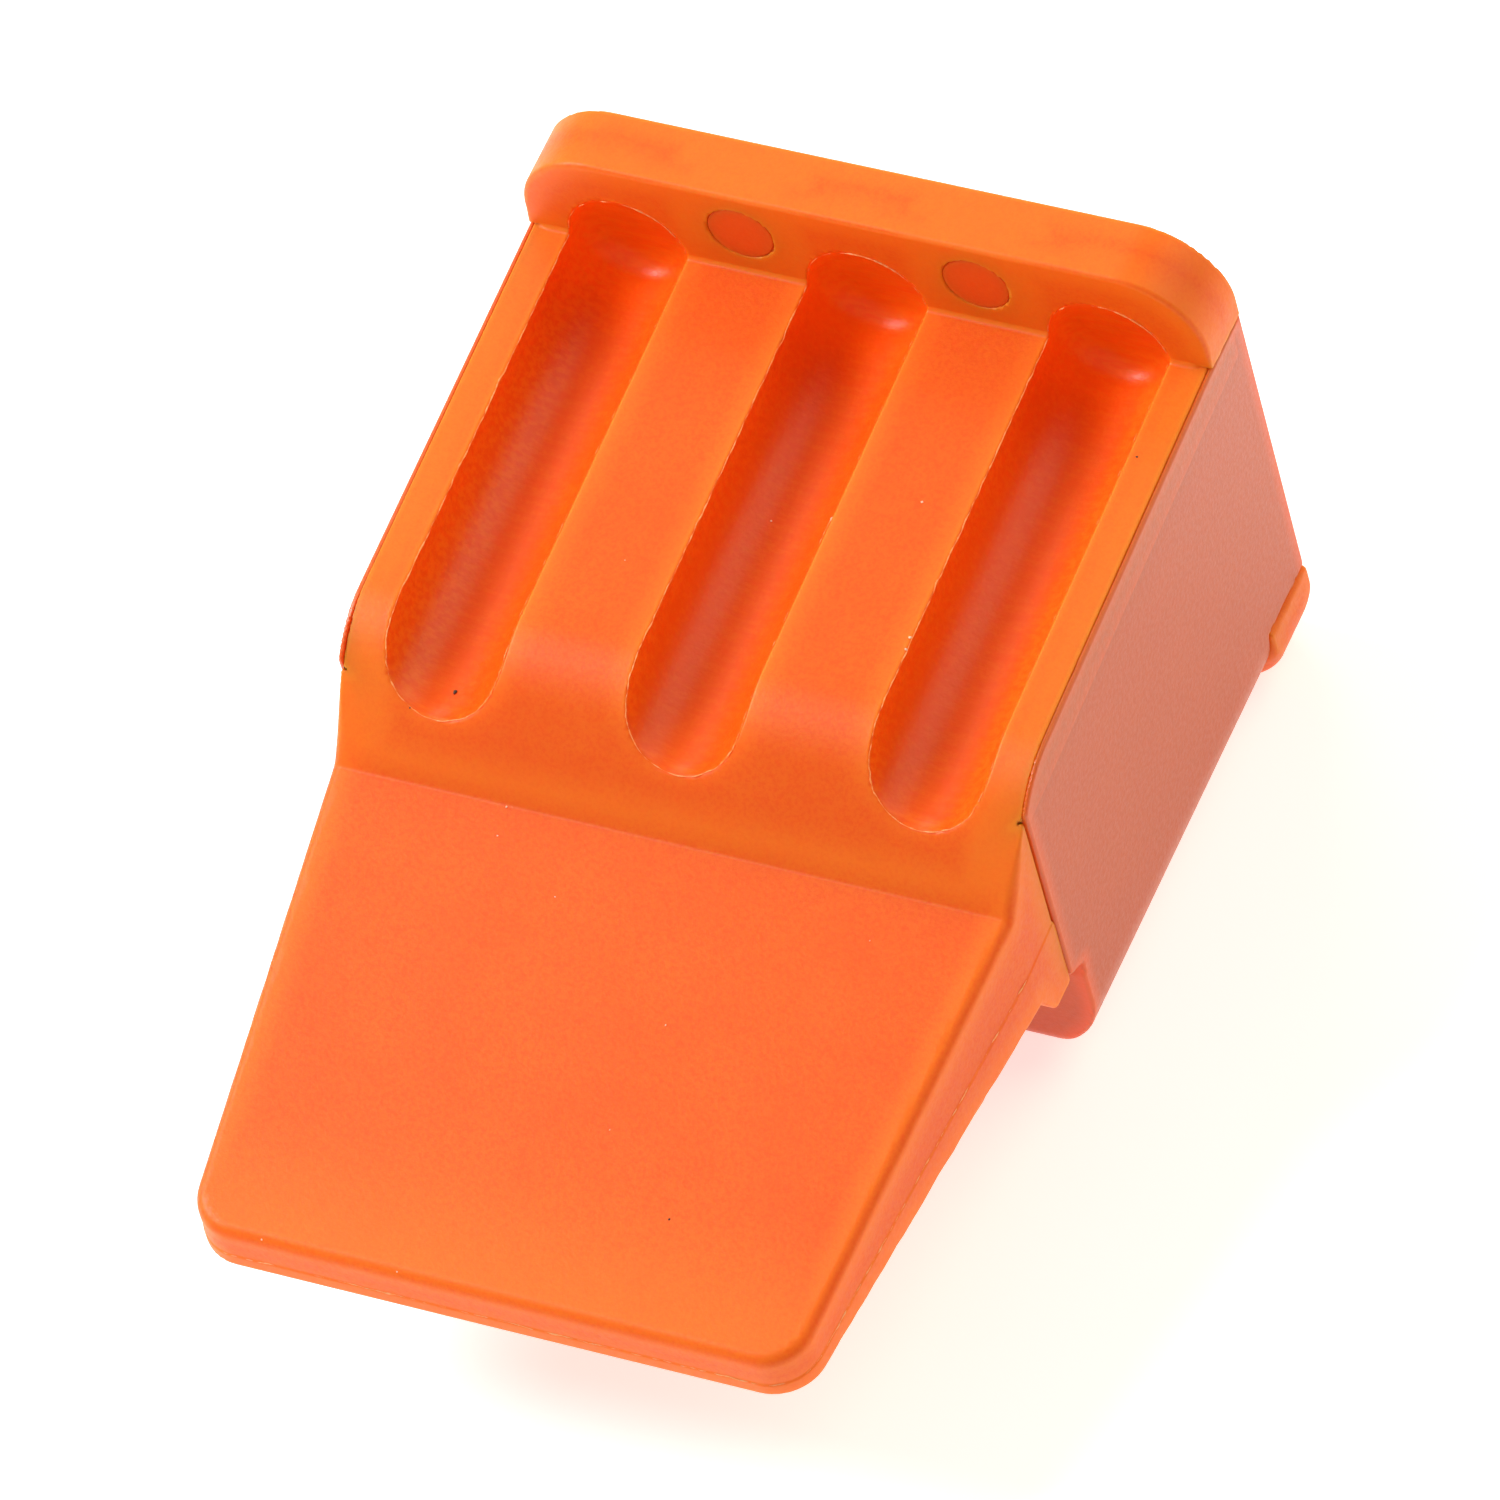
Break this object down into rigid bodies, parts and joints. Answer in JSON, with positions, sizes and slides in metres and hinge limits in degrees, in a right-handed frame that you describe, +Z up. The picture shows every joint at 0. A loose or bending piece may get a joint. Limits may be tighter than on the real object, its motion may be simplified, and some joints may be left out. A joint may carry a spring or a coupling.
{
  "type": "felling wedge",
  "caption": "Stubby orange plastic felling wedge: a flanged block with grooves across its deck and a flat tapering tongue, clipped into a saddle.",
  "frame": {"origin": "middle of the footprint on the surface the wedge stands on", "axes": "+Z up; +Y towards the struck flange, so the thin tongue edge points to -Y; +X across the width"},
  "size_m": [0.06, 0.0928, 0.0495],
  "materials": {
    "orange_body": "satin moulded plastic with a fine spark-eroded grain",
    "orange_saddle": "smoother satin moulded plastic",
    "orange_heel": "satin moulded plastic",
    "orange_pin": "satin moulded plastic"
  },
  "bodies": {
    "root": {"wedge_body": "orange_body", "saddle": "orange_saddle", "heel_bar": "orange_heel", "lock_pin_left": "orange_pin", "lock_pin_right": "orange_pin"}
  },
  "joints": []
}
